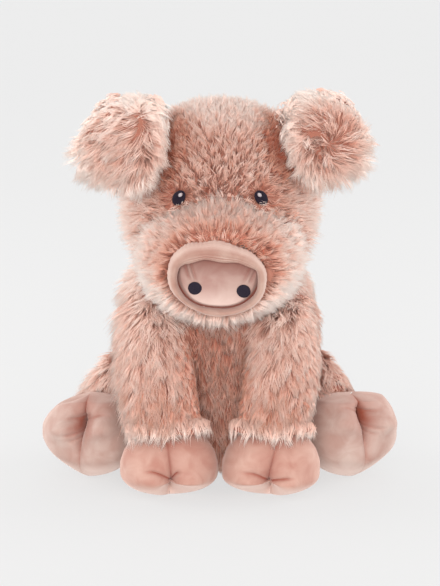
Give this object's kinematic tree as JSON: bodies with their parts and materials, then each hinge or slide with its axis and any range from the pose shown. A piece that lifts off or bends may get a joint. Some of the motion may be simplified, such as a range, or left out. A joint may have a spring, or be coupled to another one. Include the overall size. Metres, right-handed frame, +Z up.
{
  "type": "plush pig",
  "caption": "Sitting stuffed toy pig with a shaggy pile cover, drooping ears, a padded round snout, smooth cloven feet and a curled tail, joined by soft flexing seams.",
  "frame": {"origin": "on the plane that the pig sits on, under the middle of its width and depth", "axes": "-Y is the way the pig faces, +Z up, +X to the right of someone who looks at its face; left and right in the names are that viewer's"},
  "size_m": [0.243, 0.219, 0.2745],
  "materials": {
    "long_pile_plush": "long shaggy pile",
    "smooth_plush": "short brushed pile",
    "polyester_fibre": "loose white fibre",
    "pellet_cloth": "thin woven bag of plastic pellets",
    "dark_thread": "satin stitch, slight sheen",
    "white_thread": "satin stitch, slight sheen"
  },
  "bodies": {
    "torso": {"torso_cover": "long_pile_plush", "torso_stuffing": "polyester_fibre", "seat_pellet_bag": "pellet_cloth"},
    "head": {"head_cover": "long_pile_plush", "head_stuffing": "polyester_fibre", "muzzle_cover": "long_pile_plush", "muzzle_stuffing": "polyester_fibre", "snout_rim": "smooth_plush", "snout_disc": "smooth_plush", "nostril_left": "dark_thread", "nostril_right": "dark_thread", "eye_left": "dark_thread", "eye_right": "dark_thread", "eye_glint_left": "white_thread", "eye_glint_right": "white_thread"},
    "tail": {"tail": "long_pile_plush"},
    "ear_left": {"ear_front_left": "long_pile_plush", "ear_back_left": "long_pile_plush"},
    "foreleg_left": {"foreleg_cover_left": "long_pile_plush", "fore_trotter_left": "smooth_plush", "foreleg_stuffing_left": "polyester_fibre", "fore_trotter_stuffing_left": "polyester_fibre"},
    "hind_leg_left": {"hind_leg_cover_left": "long_pile_plush", "hind_trotter_left": "smooth_plush", "hind_leg_stuffing_left": "polyester_fibre", "hind_trotter_stuffing_left": "polyester_fibre"},
    "ear_right": {"ear_front_right": "long_pile_plush", "ear_back_right": "long_pile_plush"},
    "foreleg_right": {"foreleg_cover_right": "long_pile_plush", "fore_trotter_right": "smooth_plush", "foreleg_stuffing_right": "polyester_fibre", "fore_trotter_stuffing_right": "polyester_fibre"},
    "hind_leg_right": {"hind_leg_cover_right": "long_pile_plush", "hind_trotter_right": "smooth_plush", "hind_leg_stuffing_right": "polyester_fibre", "hind_trotter_stuffing_right": "polyester_fibre"}
  },
  "joints": [
    {"name": "neck_nod", "type": "hinge", "parent": "torso", "child": "head", "pos_m": [0, 0.0118, 0.118], "axis": [1, 0, 0], "range_deg": [-12, 3], "stiffness_Nm_per_rad": 1.5},
    {"name": "ear_left_flop", "type": "hinge", "parent": "head", "child": "ear_left", "pos_m": [-0.04997, -0.00539, 0.25562], "axis": [-0.8814, 0.4407, 0.1703], "range_deg": [0, 50]},
    {"name": "ear_right_flop", "type": "hinge", "parent": "head", "child": "ear_right", "pos_m": [0.04997, -0.00539, 0.25562], "axis": [-0.8446, -0.3016, -0.4424], "range_deg": [0, 50]},
    {"name": "foreleg_left_splay", "type": "hinge", "parent": "torso", "child": "foreleg_left", "pos_m": [-0.044, -0.0042, 0.137], "axis": [0, 1, 0], "range_deg": [0, 15], "stiffness_Nm_per_rad": 0.3},
    {"name": "foreleg_right_splay", "type": "hinge", "parent": "torso", "child": "foreleg_right", "pos_m": [0.044, -0.0042, 0.137], "axis": [0, -1, 0], "range_deg": [0, 15], "stiffness_Nm_per_rad": 0.3},
    {"name": "hind_leg_left_splay", "type": "hinge", "parent": "torso", "child": "hind_leg_left", "pos_m": [-0.04082, 0.09252, 0.044], "axis": [0, 0, -1], "range_deg": [0, 20], "stiffness_Nm_per_rad": 0.3},
    {"name": "hind_leg_right_splay", "type": "hinge", "parent": "torso", "child": "hind_leg_right", "pos_m": [0.04082, 0.09252, 0.044], "axis": [0, 0, 1], "range_deg": [0, 20], "stiffness_Nm_per_rad": 0.3},
    {"name": "tail_wag", "type": "hinge", "parent": "torso", "child": "tail", "pos_m": [0, 0.09129, 0.06476], "axis": [0, 0, 1], "range_deg": [-15, 15], "stiffness_Nm_per_rad": 0.02}
  ]
}
